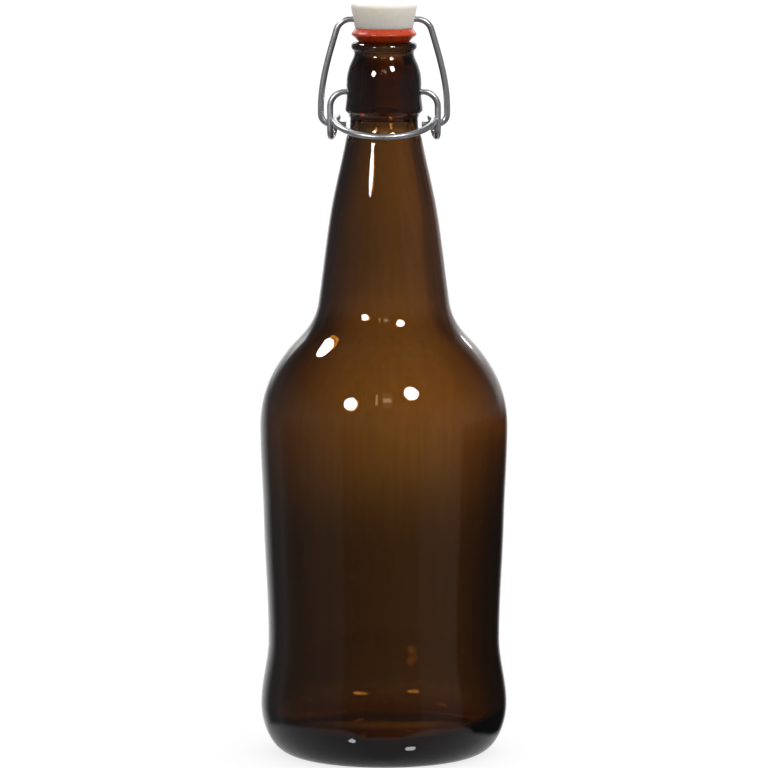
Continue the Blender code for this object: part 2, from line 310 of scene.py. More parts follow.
def glass_outside():
    """From the lip down to the middle of the push-up."""
    points = rounded((LIP_MIDDLE, LIP_TOP - LIP_ROUND), LIP_ROUND, radians(90), LIP_TURN, 16)
    points += flowing([LIP_UNDER, COLLAR_CONE, COLLAR_TOP], 8)
    points += flowing([COLLAR_TOP, COLLAR_WAIST], 26)
    edge = (COLLAR_EDGE_RADIUS - COLLAR_EDGE_ROUND, COLLAR_EDGE_HEIGHT)
    points += rounded(edge, COLLAR_EDGE_ROUND, COLLAR_EDGE_START, COLLAR_EDGE_TURN, 8)
    points += flowing([GROOVE, GROOVE_FOOT], 2)
    points += flowing([GROOVE_FOOT, NECK_TOP], 8)
    points += flowing([NECK_TOP, NECK_MIDDLE, NECK_ROOT], 10)
    points += flowing([NECK_ROOT, SHOULDER_STEEPEST, SHOULDER], 18)
    points += flowing([SHOULDER, FLANK, WAIST, HEEL], 10)
    points += rounded((BEARING_OUTER, HEEL.height), HEEL.radius - BEARING_OUTER,
                      0.0, radians(-90), 22, rise=HEEL.height)
    points += [(BEARING_INNER, 0.0)]
    points += rounded((0.0, 0.0), BEARING_INNER, PUSH_UP_START, radians(90), 12, rise=PUSH_UP)
    return apart(points, OUTLINE_GAP)


def stopper_outline():
    """From the crown down the side, in to the stem, and round the button."""
    lean = atan((CAP_BOTTOM_RADIUS - CAP_TOP_RADIUS) / (CAP_BOTTOM - CAP_TOP))
    crown = (CAP_TOP_RADIUS - CAP_TOP_ROUND, CAP_TOP - CAP_TOP_ROUND)
    foot = (CAP_BOTTOM_RADIUS - CAP_BOTTOM_ROUND, CAP_BOTTOM + CAP_BOTTOM_ROUND)
    button = (BUTTON_RADIUS - BUTTON_THICKNESS / 2, BUTTON_TOP - BUTTON_THICKNESS / 2)
    points = [(0.0, CAP_TOP), (crown[0] / 2, CAP_TOP)]
    points += rounded(crown, CAP_TOP_ROUND, radians(90), -lean, 12)
    points += rounded(foot, CAP_BOTTOM_ROUND, -lean, radians(-90), 6)
    points += [(STEM_RADIUS, CAP_BOTTOM), (STEM_RADIUS, BUTTON_TOP)]
    points += rounded(button, BUTTON_THICKNESS / 2, radians(90), radians(-90), 12)
    points += [(0.0, BUTTON_TOP - BUTTON_THICKNESS)]
    return apart(points, OUTLINE_GAP)


def gasket_outline():
    """From the top of the stem's hole out to the rim, down the cone and in again."""
    rim = (GASKET_RIM_RADIUS - GASKET_RIM_ROUND, GASKET_RIM_HEIGHT)
    points = [(STEM_RADIUS, CAP_BOTTOM), (GASKET_TOP_RADIUS, CAP_BOTTOM)]
    points += rounded(rim, GASKET_RIM_ROUND, GASKET_RIM_TURN, -GASKET_RIM_TURN, 12)
    points += [(GASKET_CONE_RADIUS, GASKET_CONE_HEIGHT),
               (GASKET_FOOT_RADIUS, GASKET_FOOT_HEIGHT),
               (GASKET_SEAT_RADIUS, GASKET_FOOT_HEIGHT),
               (GASKET_NOSE_RADIUS, GASKET_NOSE_HEIGHT),
               (STEM_RADIUS, GASKET_NOSE_HEIGHT),
               (STEM_RADIUS, CAP_BOTTOM)]
    return points


def mirrored(right_half):
    """The whole wire, from a right half that ends in the middle."""
    left_half = [Vector((-point.x, point.y, point.z)) for point in reversed(right_half[:-1])]
    return right_half + left_half


def lever_route():
    """Right half: from the dimple, out and down, round the eye, and along the thumb arc."""
    route = [PIVOT + OUT * (LEVER_TIP + WIRE_END_ROUND * share) for share in WIRE_END_POINTS]
    hip = PIVOT + OUT * LEVER_HIP_START - UP * LEVER_HIP_ROUND
    route += bend(hip, OUT, UP, LEVER_HIP_ROUND, radians(90), 0.0, 20)

    foot = Vector((LEVER_LEG, CRANK.y, PIVOT.z - EYE_FOOT_DROP))
    head = Vector((LEVER_LEG, CRANK.y, CRANK.z))
    eye = bend(foot, FRONT, UP, EYE_RADIUS, 0.0, radians(-180), 28)
    eye += bend(head, FRONT, UP, EYE_RADIUS, radians(180), EYE_EXIT, 20)
    ways = list(accumulate((dist(a, b) for a, b in zip(eye, eye[1:])), initial=0.0))
    for point, way in zip(eye, ways):
        point.x -= EYE_INSET * smooth_run(way / ways[-1])[0]
    route += eye

    thumb = []
    for step in range(THUMB_STEPS + 1):
        angle = THUMB_START + (radians(90) - THUMB_START) * step / THUMB_STEPS
        share = (sin(angle) - sin(THUMB_START)) / (1 - sin(THUMB_START))
        drop = THUMB_START_DROP + (THUMB_DROP - THUMB_START_DROP) * share
        thumb.append(PIVOT + OUT * THUMB_WIDTH * cos(angle)
                     + FRONT * THUMB_REACH * sin(angle) - UP * drop)
    exit_way = FRONT * sin(EYE_EXIT) - UP * cos(EYE_EXIT)
    route += eased(eye[-1], exit_way, thumb[0], (thumb[1] - thumb[0]).normalized(), 12)[1:-1]
    return apart(route, ROUTE_GAP) + thumb


def bail_route():
    """Right half: from the hooked tip, up the leg, and through the stopper."""
    route = [CRANK + OUT * (BAIL_TIP + WIRE_END_ROUND * share) for share in WIRE_END_POINTS]
    curl = CRANK + OUT * (BAIL_LEG - BAIL_CURL_ROUND) + UP * BAIL_CURL_ROUND
    route += bend(curl, OUT, UP, BAIL_CURL_ROUND, radians(-90), 0.0, 24)
    corner = SWIVEL + OUT * BAIL_CORNER - UP * BAIL_CORNER_ROUND
    corner_turn = bend(corner, OUT, UP, BAIL_CORNER_ROUND, BAIL_LEG_TURN, radians(90), 20)
    leg = flowing([Station(curl.z + BAIL_LEG_FOOT_RISE, BAIL_LEG, 0.0),
                   Station(corner_turn[0].z, corner_turn[0].x, -tan(BAIL_LEG_TURN))], 24)
    route += [Vector((half_width, 0.0, height)) for half_width, height in leg[:-1]]
    route += corner_turn
    route.append(SWIVEL.copy())
    lean = (SWIVEL.y - CRANK.y) / (SWIVEL.z - CRANK.z)
    for point in route:
        point.y = CRANK.y + lean * (point.z - CRANK.z)
    return apart(route, ROUTE_GAP)


# Node trees that give the pieces their shape

def opened_tree(name, sockets):
    """A geometry tree, and its inputs by name: the path, the sizes and the material."""
    tree = bpy.data.node_groups.new(name, "GeometryNodeTree")
    tree.interface.new_socket("Path", in_out="INPUT", socket_type="NodeSocketGeometry")
    for socket, kind in {**sockets, "Material": "Material"}.items():
        tree.interface.new_socket(socket, in_out="INPUT", socket_type="NodeSocket" + kind)
    tree.interface.new_socket("Piece", in_out="OUTPUT", socket_type="NodeSocketGeometry")
    return tree, add(tree, "NodeGroupInput").outputs


def closed_tree(tree, shape, material):
    """Ends a tree: instances made real, and the finish set."""
    real = add(tree, "GeometryNodeRealizeInstances", {"Geometry": shape})
    painted = add(tree, "GeometryNodeSetMaterial",
                  {"Geometry": real.outputs["Geometry"], "Material": material})
    add(tree, "NodeGroupOutput", {"Piece": painted.outputs["Geometry"]})
    return tree


def turning_tree():
    """Turns an outline about Z."""
    tree, given = opened_tree("turned_outline", {"Flats": "Int"})
    return closed_tree(tree, turned_skin(tree, given), given["Material"])


def turned_skin(tree, given):
    """The smooth turned surface, its poles closed. Its outline is drawn as radius along X and
    height down Y."""
    outline = add(tree, "GeometryNodeMeshToCurve", {"Mesh": given["Path"]})
    ring = add(tree, "GeometryNodeCurvePrimitiveCircle",
               {"Resolution": given["Flats"], "Radius": OUTLINE_ARM})
    level = add(tree, "GeometryNodeSetCurveNormal", {"Curve": ring.outputs["Curve"]},
                mode="Z_UP")
    skin = add(tree, "GeometryNodeCurveToMesh",
               {"Curve": level.outputs["Curve"], "Profile Curve": outline.outputs["Curve"]})
    closed = add(tree, "GeometryNodeMergeByDistance",
                 {"Geometry": skin.outputs["Mesh"], "Distance": SKIN_GAP})
    smooth = add(tree, "GeometryNodeSetShadeSmooth", {"Geometry": closed.outputs["Geometry"]})
    return smooth.outputs["Geometry"]


def blown_tree():
    """Turns the glass, presses the two dimples into its collar, and lets its walls run
    a little uneven, as blown glass does. The outline carries how much, point by point."""
    tree, given = opened_tree("blown_glass", {
        "Flats": "Int", "Pivot height": "Float", "Dimple radius": "Float",
        "Dimple round": "Float", "Dimple floor": "Float", "Ripples per metre": "Float"})
    skin = turned_skin(tree, given)
    place = add(tree, "GeometryNodeInputPosition").outputs["Position"]
    parts = add(tree, "ShaderNodeSeparateXYZ", {0: place}).outputs

    above = add(tree, "ShaderNodeMath", {0: parts["Z"], 1: given["Pivot height"]},
                operation="SUBTRACT").outputs[0]
    from_pivot = add(tree, "ShaderNodeCombineXYZ", {"Y": parts["Y"], "Z": above}).outputs[0]
    away = add(tree, "ShaderNodeVectorMath", {0: from_pivot}, operation="LENGTH").outputs["Value"]
    rim = add(tree, "ShaderNodeMath", {0: given["Dimple radius"], 1: given["Dimple round"]},
              operation="ADD").outputs[0]
    press = add(tree, "ShaderNodeMapRange",
                {"Value": away, "From Min": given["Dimple radius"], "From Max": rim,
                 "To Min": 1.0, "To Max": 0.0}, interpolation_type="SMOOTHSTEP").outputs["Result"]
    outside = add(tree, "GeometryNodeInputNamedAttribute", {"Name": "outside"},
                  data_type="FLOAT").outputs["Attribute"]
    out = add(tree, "ShaderNodeMath", {0: parts["X"]}, operation="ABSOLUTE").outputs[0]
    side = add(tree, "ShaderNodeMath", {0: parts["X"]}, operation="SIGN").outputs[0]
    short = add(tree, "ShaderNodeMath", {0: given["Dimple floor"], 1: out},
                operation="SUBTRACT").outputs[0]
    sunk = add(tree, "ShaderNodeMath", {0: short, 1: 0.0}, operation="MINIMUM").outputs[0]
    for share in (press, outside, side):
        sunk = add(tree, "ShaderNodeMath", {0: sunk, 1: share}, operation="MULTIPLY").outputs[0]
    dent = add(tree, "ShaderNodeCombineXYZ", {"X": sunk}).outputs[0]
    near_side = add(tree, "ShaderNodeMath", {0: out, 1: given["Dimple floor"]},
                    operation="GREATER_THAN").outputs[0]
    dented = add(tree, "GeometryNodeSetPosition",
                 {"Geometry": skin, "Selection": near_side, "Offset": dent})

    drawn_out = add(tree, "ShaderNodeVectorMath", {0: place, 1: RIPPLE_RUN},
                    operation="MULTIPLY").outputs[0]
    ripple = add(tree, "ShaderNodeTexNoise",
                 {"Vector": drawn_out, "Scale": given["Ripples per metre"], "Detail": 1.0})
    swell = add(tree, "ShaderNodeMath", {0: ripple.outputs[0], 1: 1.0},
                operation="SUBTRACT").outputs[0]
    wave = add(tree, "GeometryNodeInputNamedAttribute", {"Name": "wave"},
               data_type="FLOAT").outputs["Attribute"]
    swell = add(tree, "ShaderNodeMath", {0: swell, 1: wave}, operation="MULTIPLY").outputs[0]
    outwards = add(tree, "GeometryNodeInputNormal").outputs["Normal"]
    lift = add(tree, "ShaderNodeVectorMath", {0: outwards, "Scale": swell},
               operation="SCALE").outputs[0]
    uneven = add(tree, "GeometryNodeSetPosition",
                 {"Geometry": dented.outputs["Geometry"], "Offset": lift})
    return closed_tree(tree, uneven.outputs["Geometry"], given["Material"])


def drilled_tree():
    """Turns the stopper and drills the cross hole for the bail's bar."""
    tree, given = opened_tree("drilled_stopper", {
        "Flats": "Int", "Hole height": "Float", "Hole radius": "Float",
        "Hole length": "Float"})
    skin = turned_skin(tree, given)
    bit = add(tree, "GeometryNodeMeshCylinder",
              {"Vertices": HOLE_FLATS, "Radius": given["Hole radius"],
               "Depth": given["Hole length"]})
    height = add(tree, "ShaderNodeCombineXYZ", {"Z": given["Hole height"]}).outputs[0]
    across = add(tree, "GeometryNodeTransform",
                 {"Geometry": bit.outputs["Mesh"], "Translation": height,
                  "Rotation": (0.0, radians(90), 0.0)})
    drilled = add(tree, "GeometryNodeMeshBoolean",
                  {0: skin, 1: across.outputs["Geometry"]}, operation="DIFFERENCE",
                  solver="EXACT")
    turn = add(tree, "GeometryNodeInputMeshEdgeAngle").outputs["Unsigned Angle"]
    sharp = add(tree, "ShaderNodeMath", {0: turn, 1: SHARP_EDGE},
                operation="GREATER_THAN").outputs[0]
    smooth = add(tree, "GeometryNodeSetShadeSmooth", {"Geometry": drilled.outputs["Mesh"]})
    edged = add(tree, "GeometryNodeSetShadeSmooth",
                {"Geometry": smooth.outputs["Geometry"], "Selection": sharp,
                 "Shade Smooth": False}, domain="EDGE")
    return closed_tree(tree, edged.outputs["Geometry"], given["Material"])


def wire_tree():
    """Runs round wire along a route, its cut ends slightly rounded. Each point keeps its
    place along the wire and on its section, for the drawing lines of the finish."""
    tree, given = opened_tree("drawn_wire", {"Wire radius": "Float", "End round": "Float",
                                             "Sides": "Int"})
    route = add(tree, "GeometryNodeMeshToCurve", {"Mesh": given["Path"]})
    place = add(tree, "GeometryNodeSplineParameter")
    whole = add(tree, "GeometryNodeSplineLength")
    from_far = add(tree, "ShaderNodeMath",
                   {0: whole.outputs["Length"], 1: place.outputs["Length"]},
                   operation="SUBTRACT")
    from_end = add(tree, "ShaderNodeMath", {0: place.outputs["Length"], 1: from_far.outputs[0]},
                   operation="MINIMUM")
    fullness = add(tree, "ShaderNodeMapRange",
                   {"Value": from_end.outputs[0], "From Max": given["End round"],
                    "To Min": WIRE_END_FULLNESS}, interpolation_type="SMOOTHERSTEP")
    eased_route = add(tree, "GeometryNodeSetCurveRadius",
                      {"Curve": route.outputs["Curve"], "Radius": fullness.outputs["Result"]})
    marked_route = add(tree, "GeometryNodeStoreNamedAttribute",
                       {"Geometry": eased_route.outputs["Curve"], "Name": "along",
                        "Value": place.outputs["Length"]}, data_type="FLOAT", domain="POINT")
    section = add(tree, "GeometryNodeCurvePrimitiveCircle",
                  {"Resolution": given["Sides"], "Radius": given["Wire radius"]})
    where = add(tree, "GeometryNodeInputPosition").outputs["Position"]
    marked_section = add(tree, "GeometryNodeStoreNamedAttribute",
                         {"Geometry": section.outputs["Curve"], "Name": "section",
                          "Value": where}, data_type="FLOAT_VECTOR", domain="POINT")
    skin = add(tree, "GeometryNodeCurveToMesh",
               {"Curve": marked_route.outputs["Geometry"],
                "Profile Curve": marked_section.outputs["Geometry"], "Fill Caps": True})
    smooth = add(tree, "GeometryNodeSetShadeSmooth", {"Geometry": skin.outputs["Mesh"]})
    return closed_tree(tree, smooth.outputs["Geometry"], given["Material"])


def shaped(name, points, tree, sizes, marks=None):
    """Runs a path through a tree and keeps the result as a plain mesh. marks names numbers
    that the path carries, point by point."""
    path = bpy.data.meshes.new(name + "_path")
    path.from_pydata(points, [(place, place + 1) for place in range(len(points) - 1)], [])
    for mark, values in (marks or {}).items():
        path.attributes.new(mark, "FLOAT", "POINT").data.foreach_set("value", values)
    piece = brought_in(name, path)
    modifier = piece.modifiers.new(name, "NODES")
    modifier.node_group = tree
    sockets = {item.name: item.identifier for item in tree.interface.items_tree}
    for size, value in sizes.items():
        modifier[sockets[size]] = value
    graph = bpy.context.evaluated_depsgraph_get()
    made = bpy.data.meshes.new_from_object(piece.evaluated_get(graph), depsgraph=graph)
    piece.modifiers.remove(modifier)
    piece.data = made
    bpy.data.meshes.remove(path)
    return piece


def turned(name, outline, tree, sizes, marks=None):
    """A turned piece from points (radius, height)."""
    points = [(radius - OUTLINE_ARM, -height, 0.0) for radius, height in outline]
    return shaped(name, points, tree, sizes, marks)


def glass_shell(tree):
    """The bottle: its inside, then its outside, and how uneven each place is."""
    inside, outside = glass_inside(), glass_outside()
    waves = []
    for _, height in inside:
        share = min(1.0, (NECK_TOP.height - height) / NECK_FADE)
        waves.append(-INNER_WAVE * max(0.0, share))
    for _, height in outside:
        share = min(1.0, (NECK_TOP.height - height) / NECK_FADE,
                    (height - FOOT_EVEN) / FOOT_FADE)
        waves.append(OUTER_WAVE * max(0.0, share))
    marks = {"wave": waves, "outside": [0.0] * len(inside) + [1.0] * len(outside)}
    sizes = {"Flats": GLASS_FLATS, "Pivot height": PIVOT.z, "Dimple radius": DIMPLE_RADIUS,
             "Dimple round": DIMPLE_ROUND, "Dimple floor": DIMPLE_FLOOR,
             "Ripples per metre": 1 / RIPPLE_LENGTH, "Material": amber_glass()}
    return turned("amber_bottle", inside + outside, tree, sizes, marks)


# Finishes

def spaced_mm(spacing):
    """Scale of a pattern whose marks are so many millimetres apart."""
    return 1000 / spacing


def blank(name):
    """A material without nodes, and its tree."""
    material = bpy.data.materials.new(name)
    material.use_nodes = True
    material.node_tree.nodes.clear()
    return material, material.node_tree


def wandering(tree, noise, ends, colours):
    """How far a finish has wandered between two colours, as a noise does between its ends,
    and its colour there."""
    share = add(tree, "ShaderNodeMapRange", {"Value": noise, "From Min": ends[0],
                                             "From Max": ends[1]}).outputs["Result"]
    colour = add(tree, "ShaderNodeMix",
                 {"Factor": share, 6: linear(colours[0]), 7: linear(colours[1])},
                 data_type="RGBA").outputs[2]
    return share, colour


def ended(tree, pattern, strength, depth, looks):
    """Ends a finish: its pattern pressed so many metres deep, and its looks by name."""
    relief = add(tree, "ShaderNodeBump", {"Strength": strength, "Distance": depth,
                                          "Height": pattern.outputs[0]})
    surface = add(tree, "ShaderNodeBsdfPrincipled",
                  {"Normal": relief.outputs["Normal"], **looks})
    return add(tree, "ShaderNodeOutputMaterial", {"Surface": surface.outputs["BSDF"]})


def amber_glass():
    """Container glass, blown in a mould and fire polished. The absorption gives the olive
    brown that deepens to near black where the glass is thick. The cords are the faint
    upright streaks of less even glass, some 2 mm wide. The fine upright waves on the inside
    alone make the far wall shiver, while the polished outside keeps its reflections crisp."""
    material, tree = blank("amber container glass")
    place = add(tree, "ShaderNodeTexCoord").outputs["Object"]
    upright = add(tree, "ShaderNodeVectorMath", {0: place, 1: CORD_RUN},
                  operation="MULTIPLY").outputs[0]
    cords = add(tree, "ShaderNodeTexNoise",
                {"Vector": upright, "Scale": spaced_mm(2.381), "Detail": 2.0}).outputs[0]
    _, tint = wandering(tree, cords, (0.35, 0.65), ("#F7F5F1", "#FFFFFF"))
    outside = add(tree, "ShaderNodeAttribute", attribute_name="outside").outputs["Fac"]
    inside = add(tree, "ShaderNodeMath", {0: 1.0, 1: outside}, operation="SUBTRACT").outputs[0]
    waves = add(tree, "ShaderNodeTexNoise",
                {"Vector": upright, "Scale": spaced_mm(1.4286), "Detail": 1.0})
    end = ended(tree, waves, strength=inside, depth=0.000014, looks={
        "Base Color": tint, "Roughness": 0.0, "IOR": 1.52, "Transmission Weight": 1.0})
    depth = add(tree, "ShaderNodeVolumeAbsorption",
                {"Color": linear("#D9B72A"), "Density": 640.0})
    tree.links.new(depth.outputs["Volume"], end.inputs["Volume"])
    return material


def cream_plastic():
    """Moulded plastic, half gloss. The cream has a faint mottle from the melt, light
    passes a little way in, and a fine uneven skin breaks the gloss up."""
    material, tree = blank("cream moulded plastic")
    place = add(tree, "ShaderNodeTexCoord").outputs["Object"]
    melt = add(tree, "ShaderNodeTexNoise",
               {"Vector": place, "Scale": spaced_mm(1.667), "Detail": 3.0}).outputs[0]
    mottle, cream = wandering(tree, melt, (0.3, 0.7), ("#F5EEE2", "#FAF4EA"))
    gloss = add(tree, "ShaderNodeMapRange", {"Value": mottle, "To Min": 0.30,
                                             "To Max": 0.42}).outputs["Result"]
    skin = add(tree, "ShaderNodeTexNoise",
               {"Vector": place, "Scale": spaced_mm(0.6667), "Detail": 2.0})
    ended(tree, skin, strength=0.2, depth=0.00004, looks={
        "Base Color": cream, "Roughness": gloss, "IOR": 1.49, "Subsurface Weight": 0.8,
        "Subsurface Radius": (1.0, 0.85, 0.7), "Subsurface Scale": 0.005})
    return material


def red_rubber():
    """Moulded rubber, soft and slightly shiny. The orange red wanders a little, as filled
    rubber does, and a fine grain softens the shine."""
    material, tree = blank("orange red rubber")
    place = add(tree, "ShaderNodeTexCoord").outputs["Object"]
    filler = add(tree, "ShaderNodeTexNoise",
                 {"Vector": place, "Scale": spaced_mm(2.0), "Detail": 3.0}).outputs[0]
    cloud, red = wandering(tree, filler, (0.3, 0.7), ("#CB3E12", "#D34A1B"))
    gloss = add(tree, "ShaderNodeMapRange", {"Value": cloud, "To Min": 0.24,
                                             "To Max": 0.36}).outputs["Result"]
    grain = add(tree, "ShaderNodeTexNoise",
                {"Vector": place, "Scale": spaced_mm(0.4545), "Detail": 2.0})
    ended(tree, grain, strength=0.2, depth=0.00003, looks={
        "Base Color": red, "Roughness": gloss, "IOR": 1.52, "Subsurface Weight": 0.3,
        "Subsurface Radius": (1.0, 0.3, 0.15), "Subsurface Scale": 0.0015})
    return material


def zinc_wire():
    """Drawn steel wire, bright zinc plated. The plating clouds from light to mid grey every
    few millimetres, and drawing lines run along the wire: they are drawn about four times
    as coarse as real ones, since those are too fine to show."""
    material, tree = blank("zinc plated drawn wire")
    along = add(tree, "ShaderNodeAttribute", attribute_name="along").outputs["Fac"]
    section = add(tree, "ShaderNodeAttribute", attribute_name="section").outputs["Vector"]
    stretched = add(tree, "ShaderNodeMath", {0: along, 1: DRAWING_RUN},
                    operation="MULTIPLY").outputs[0]
    run = add(tree, "ShaderNodeCombineXYZ", {"Z": stretched}).outputs[0]
    drawn = add(tree, "ShaderNodeVectorMath", {0: section, 1: run}, operation="ADD").outputs[0]
    lines = add(tree, "ShaderNodeTexNoise",
                {"Vector": drawn, "Scale": spaced_mm(0.2857), "Detail": 1.0})
    place = add(tree, "ShaderNodeTexCoord").outputs["Object"]
    plating = add(tree, "ShaderNodeTexNoise",
                  {"Vector": place, "Scale": spaced_mm(3.846), "Detail": 3.0}).outputs[0]
    bloom, grey = wandering(tree, plating, (0.35, 0.65), ("#B9BABD", "#D3D4D6"))
    gloss = add(tree, "ShaderNodeMapRange", {"Value": bloom, "To Min": 0.38,
                                             "To Max": 0.26}).outputs["Result"]
    ended(tree, lines, strength=0.35, depth=0.00003, looks={
        "Base Color": grey, "Roughness": gloss, "Metallic": 1.0})
    return material


# Studio

# Where each lamp hangs, azimuth from the front to the right, and how wide and high it looks,
# all in degrees. The window is a faint one, with a slit of light beside it.
Lamp = namedtuple("Lamp", "azimuth elevation width height radiance colour shape",
                  defaults=("#FFFFFF", "ELLIPSE"))
LAMPS = {
    "front_left_lamp": Lamp(-34.0, 26.5, 12.3, 12.3, 32.0),
    "front_right_lamp": Lamp(30.5, 37.5, 13.0, 13.0, 32.0),
    "back_left_lamp": Lamp(-116.5, 48.0, 13.0, 13.0, 30.0),
    "back_right_lamp": Lamp(152.5, 17.4, 3.5, 3.5, 8.0),
    "warm_window": Lamp(3.2, 32.3, 7.5, 4.5, 2.9, "#FFE9BC", "RECTANGLE"),
    "glow_round_window": Lamp(4.0, 32.0, 9.0, 15.0, 0.4, "#FFE9BC", "RECTANGLE"),
    "slit_beside_window": Lamp(-7.8, 32.5, 1.6, 11.0, 4.2, "#FFE5A8", "RECTANGLE"),
}
TABLE_GLINTS = {
    "left_lamp_in_the_table": Lamp(-34.4, -36.7, 6.5, 6.5, 8.0),
    "right_lamp_in_the_table": Lamp(33.5, -51.3, 8.5, 8.5, 8.0),
}
LAMP_DISTANCE = 1.3
LAMP_CENTRE = Vector((0.0, 0.0, 0.15))
GLINT_CENTRE = Vector((0.0, -0.03, 0.012))

# A change along a measure: from where to where, and from how much to how much. A measure is
# the height in metres, or the degrees to the right of straight behind, aside of it to either
# hand, or up. In the soft light, height and across are shares of a direction.
Fade = namedtuple("Fade", "along start end first last run", defaults=(0.0, 1.0, "SMOOTHSTEP"))

# Floor close by, as a mirror sees it: brighter towards the backdrop
FLOOR_GLOW = Fade("aside", 40.0, 160.0, 0.58, 0.34, "LINEAR")

# Backdrop that shows through the glass: its glow by height, and by degrees to the right
BACKDROP_DISTANCE = 0.30
BACKDROP_REACH = 100
BACKDROP_FOOT = -0.70
BACKDROP_TOP = 0.42
GLOW_BY_HEIGHT = [(-0.70, 0.05), (-0.50, 0.08), (-0.30, 0.24), (-0.10, 0.15), (-0.035, 0.13),
                  (0.0, 0.09), (0.035, 0.09), (0.052, 0.15), (0.066, 0.29), (0.08, 0.43),
                  (0.095, 0.54), (0.11, 0.70), (0.13, 0.54), (0.15, 0.43), (0.172, 0.28),
                  (0.19, 0.40), (0.21, 0.45), (0.235, 0.37), (0.25, 0.19), (0.262, 0.34),
                  (0.28, 0.22), (0.30, 0.17), (0.36, 0.26), (0.45, 0.28)]
GLOW_BY_TURN = [(-60, 0.12), (-40, 0.13), (-27, 0.17), (-20, 0.23), (-14, 0.35), (-9, 0.50),
                (-5, 0.67), (0, 0.88), (4, 0.98), (8, 1.0), (12, 0.92), (20, 0.80), (45, 0.65),
                (60, 0.55)]
GLOW_BESIDE_NECK = [(-60, 0.82), (-5, 0.82), (4, 1.0), (9, 1.15), (11.5, 1.15), (13.5, 0.85),
                    (20, 0.88), (32, 1.05), (45, 0.85), (60, 0.85)]
GLOW_PEAK = 1.16
GLOW_ALL_ROUND = 0.45
BACKDROP_FADES = {
    "at neck": Fade("height", 0.13, 0.165),
    "low": Fade("height", 0.105, 0.075),
    "lean at neck": Fade("height", 0.175, 0.225, 0.0, 8.0, "LINEAR"),
    "straight edge": Fade("right", 8.5, 11.0, 0.0, 0.24),
    "further right": Fade("right", 11.0, 26.0, 0.0, 0.22),
    "lowest": Fade("height", 0.065, 0.035),
    "to the left": Fade("right", 4.0, -12.0, 0.0, 0.32),
    "to the sides": Fade("aside", 60.0, 100.0),
}

# What the glass and the wires mirror, by degrees to the right: the room with the backdrop's
# two edges, and the upper edge and the panels of a low wall round the bottle
ROOM = [(-180, 0.15), (-160, 0.14), (-142, 0.13), (-138, 0.17), (-115, 0.20), (-90, 0.20),
        (-60, 0.17), (-44, 0.13), (-37, 0.14), (-30, 0.34), (-24, 0.75), (-15, 1.12),
        (0, 1.25), (15, 1.15), (24, 0.76), (30, 0.64), (36, 0.60), (39, 0.46), (43, 0.18),
        (48, 0.14), (56, 0.16), (75, 0.17), (100, 0.22), (125, 0.22), (145, 0.17), (148, 0.13),
        (160, 0.14), (180, 0.15)]
ROOM_FADES = {
    "aloft": Fade("up", 9.0, 30.0, 1.0, 0.45, "LINEAR"),
    "left edge": Fade("right", -31.0, -27.0, 0.0, 1.3),
    "right edge": Fade("right", 35.0, 23.0),
    "over the backdrop": Fade("up", 8.0, 16.0),
    "floor": Fade("up", -17.0, -23.0),
    "floor glow": FLOOR_GLOW,
}
WALL_DISTANCE = 0.30
WALL_REACH = 180
WALL_FOOT = -0.155
WALL_TOP = 0.165
WALL_FADES = {
    "upper edge": Fade("height", 0.105, WALL_TOP),
    "rise on the right": Fade("right", 18.0, 60.0, 0.0, 0.048),
    "not far right": Fade("right", 105.0, 80.0),
    "rise in front": Fade("aside", 140.0, 168.0, 0.0, 0.06),
    "floor glow": FLOOR_GLOW,
}
FLOOR_FADE = {"floor": Fade("height", -0.064, -0.094)}
WALL_EDGE = [(-180, 0.08), (-148, 0.09), (-138, 0.17), (-100, 0.20), (-60, 0.16), (-45, 0.14),
             (-37, 0.25), (-32, 0.45), (-27, 0.70), (-18, 1.10), (0, 1.25), (20, 1.15),
             (30, 0.88), (38, 0.75), (43, 0.60), (48, 0.36), (55, 0.18), (75, 0.17), (100, 0.22),
             (125, 0.22), (147, 0.17), (152, 0.09), (180, 0.08)]
WALL_PANELS = [(-180, 0.07), (-146, 0.08), (-142, 0.15), (-115, 0.15), (-98, 0.12),
               (-83, 0.13), (-73, 0.20), (-66, 0.14), (-57, 0.10), (-51, 0.13), (-45, 0.35),
               (-37, 0.65), (-27, 0.90), (-9, 1.20), (9, 1.20), (21, 1.10), (28, 0.35),
               (34, 0.05), (42, 0.02), (68, 0.04), (92, 0.055), (107, 0.06), (110, 0.19),
               (125, 0.19), (147, 0.16), (150, 0.09), (171, 0.09), (173, 0.07), (180, 0.07)]

# Soft light on matt surfaces: brighter from overhead and from the right, and dim from below
SOFT_LIGHT = {
    "overhead": Fade("height", -0.05, 1.0, 0.79, 1.55, "LINEAR"),
    "below": Fade("height", -0.05, 0.05, 0.16, 1.0, "LINEAR"),
    "across": Fade("across", -1.0, 1.0, 0.72, 1.28, "LINEAR"),
}
FLOOR_REACH = 8.0


def bearing(azimuth, elevation):
    """A direction: azimuth from the front, to the right, and elevation, in degrees."""
    a, e = radians(azimuth), radians(elevation)
    return Vector((sin(a) * cos(e), -cos(a) * cos(e), sin(e)))


def hide(thing, *rays):
    """Keeps a thing out of what these rays meet."""
    for ray in rays:
        setattr(thing, "visible_" + ray, False)


